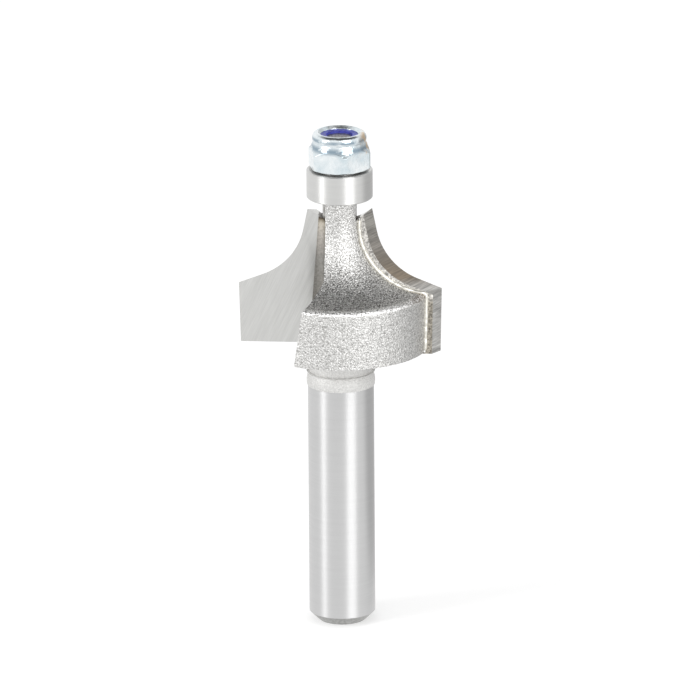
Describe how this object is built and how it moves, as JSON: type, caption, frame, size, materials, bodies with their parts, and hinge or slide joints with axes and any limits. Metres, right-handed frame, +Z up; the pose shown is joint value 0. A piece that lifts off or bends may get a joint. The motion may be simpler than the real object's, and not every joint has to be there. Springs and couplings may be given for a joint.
{
  "type": "router bit",
  "caption": "Corner-rounding router bit with brazed carbide tips, a straight clamping shank and a ball-bearing guide held by a lock nut.",
  "frame": {"origin": "centre of the foot of the shank, on the surface that the bit stands on", "axes": "+Z up the axis from the shank to the nut, +X towards one carbide tip, whose rake face looks along +Y"},
  "size_m": [0.0196, 0.017, 0.0489],
  "materials": {
    "cutter_steel": "ground shank, sandblasted head",
    "carbide": "fine ground",
    "silver_solder": "bright, slightly wavy",
    "bearing_steel": "fine ground",
    "ball_steel": "polished",
    "cage_brass": "machined",
    "shield_steel": "satin",
    "washer_steel": "dull",
    "zinc_plate": "bright zinc plate",
    "blue_nylon": "smooth"
  },
  "bodies": {
    "cutter": {"cutter_body": "cutter_steel", "carbide_tip_a": "carbide", "carbide_tip_b": "carbide", "braze_seam_a": "silver_solder", "braze_seam_b": "silver_solder", "inner_race": "bearing_steel", "spacer_washer": "washer_steel", "lock_nut": "zinc_plate", "nylon_insert": "blue_nylon"},
    "outer_ring": {"outer_race": "bearing_steel", "lower_shield": "shield_steel", "upper_shield": "shield_steel", "lower_shield_ring": "shield_steel", "upper_shield_ring": "shield_steel"},
    "ball_set": {"ball_cage": "cage_brass", "ball_1": "ball_steel", "ball_2": "ball_steel", "ball_3": "ball_steel", "ball_4": "ball_steel", "ball_5": "ball_steel", "ball_6": "ball_steel", "ball_7": "ball_steel", "ball_8": "ball_steel"}
  },
  "joints": [
    {"name": "bearing_spin", "type": "hinge", "parent": "cutter", "child": "outer_ring", "pos_m": [0, 0, 0.0438], "axis": [0, 0, 1], "continuous": true},
    {"name": "ball_orbit", "type": "hinge", "parent": "cutter", "child": "ball_set", "pos_m": [0, 0, 0.0438], "axis": [0, 0, 1], "continuous": true}
  ],
  "couplings": [
    {"joint": "ball_orbit", "follows": "bearing_spin", "ratio": 0.605}
  ]
}
